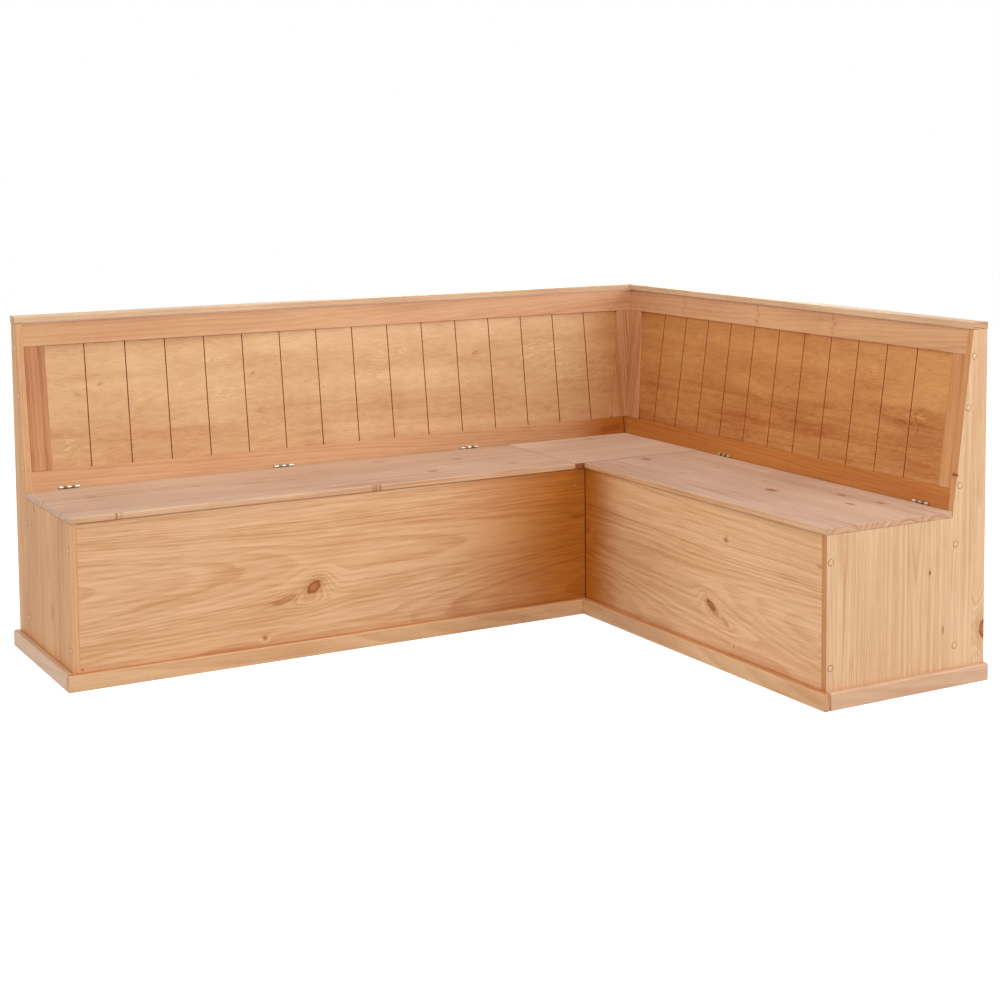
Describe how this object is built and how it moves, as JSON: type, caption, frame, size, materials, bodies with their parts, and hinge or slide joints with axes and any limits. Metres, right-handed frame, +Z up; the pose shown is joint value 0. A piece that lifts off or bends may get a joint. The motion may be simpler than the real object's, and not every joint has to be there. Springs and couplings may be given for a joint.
{
  "type": "corner storage bench",
  "caption": "L-shaped pine corner bench with hinged lids over storage chests, a fixed corner seat, a sloping framed back with grooved panels, and a skirting.",
  "frame": {"origin": "on the floor under the middle of the bench's bounding box", "axes": "+X along the long wing, from its free end towards the corner; +Y towards the long wing's wall; +Z up. The short wing runs from the corner along -Y"},
  "size_m": [2.0184, 1.6032, 0.9],
  "materials": {
    "carcass_pine": "clear lacquered pine",
    "seat_pine": "clear lacquered pine",
    "frame_pine": "clear lacquered pine",
    "trim_pine": "clear lacquered pine",
    "plug_pine": "clear lacquered pine",
    "panel_plywood": "clear lacquered plywood",
    "hinge_nickel": "nickel plated"
  },
  "bodies": {
    "carcass": {"long_end_panel": "carcass_pine", "long_front_board": "carcass_pine", "long_back_board": "carcass_pine", "long_bottom_panel": "panel_plywood", "long_front_skirting": "trim_pine", "long_end_skirting": "trim_pine", "long_back_bottom_rail": "frame_pine", "long_back_top_rail": "frame_pine", "long_back_end_stile": "frame_pine", "long_back_corner_stile": "frame_pine", "long_back_panel": "panel_plywood", "long_top_cap": "trim_pine", "long_hinge_1_fixed_leaf": "hinge_nickel", "long_hinge_1_pin": "hinge_nickel", "long_hinge_2_fixed_leaf": "hinge_nickel", "long_hinge_2_pin": "hinge_nickel", "long_hinge_3_fixed_leaf": "hinge_nickel", "long_hinge_3_pin": "hinge_nickel", "long_end_plug_1": "plug_pine", "long_end_plug_2": "plug_pine", "long_end_plug_3": "plug_pine", "long_end_plug_4": "plug_pine", "long_end_plug_5": "plug_pine", "long_end_plug_6": "plug_pine", "long_end_plug_7": "plug_pine", "short_end_panel": "carcass_pine", "short_front_board": "carcass_pine", "short_back_board": "carcass_pine", "short_bottom_panel": "panel_plywood", "short_front_skirting": "trim_pine", "short_end_skirting": "trim_pine", "short_back_bottom_rail": "frame_pine", "short_back_top_rail": "frame_pine", "short_back_end_stile": "frame_pine", "short_back_corner_stile": "frame_pine", "short_back_panel": "panel_plywood", "short_top_cap": "trim_pine", "short_hinge_1_fixed_leaf": "hinge_nickel", "short_hinge_1_pin": "hinge_nickel", "short_hinge_2_fixed_leaf": "hinge_nickel", "short_hinge_2_pin": "hinge_nickel", "short_end_plug_1": "plug_pine", "short_end_plug_2": "plug_pine", "short_end_plug_3": "plug_pine", "short_end_plug_4": "plug_pine", "short_end_plug_5": "plug_pine", "short_end_plug_6": "plug_pine", "short_end_plug_7": "plug_pine", "corner_seat": "seat_pine", "seam_partition": "carcass_pine", "rear_corner_post": "carcass_pine", "inner_corner_post": "carcass_pine", "short_lid_cleat": "carcass_pine"},
    "long_lid": {"long_seat_lid": "seat_pine", "long_hinge_1_lid_leaf": "hinge_nickel", "long_hinge_2_lid_leaf": "hinge_nickel", "long_hinge_3_lid_leaf": "hinge_nickel"},
    "short_lid": {"short_seat_lid": "seat_pine", "short_hinge_1_lid_leaf": "hinge_nickel", "short_hinge_2_lid_leaf": "hinge_nickel"}
  },
  "joints": [
    {"name": "long_lid_hinge", "type": "hinge", "parent": "carcass", "child": "long_lid", "pos_m": [-0.2, 0.69584, 0.4396], "axis": [-1, 0, 0], "range_deg": [0, 97]},
    {"name": "short_lid_hinge", "type": "hinge", "parent": "carcass", "child": "short_lid", "pos_m": [0.90334, -0.24, 0.4396], "axis": [0, 1, 0], "range_deg": [0, 97]}
  ]
}
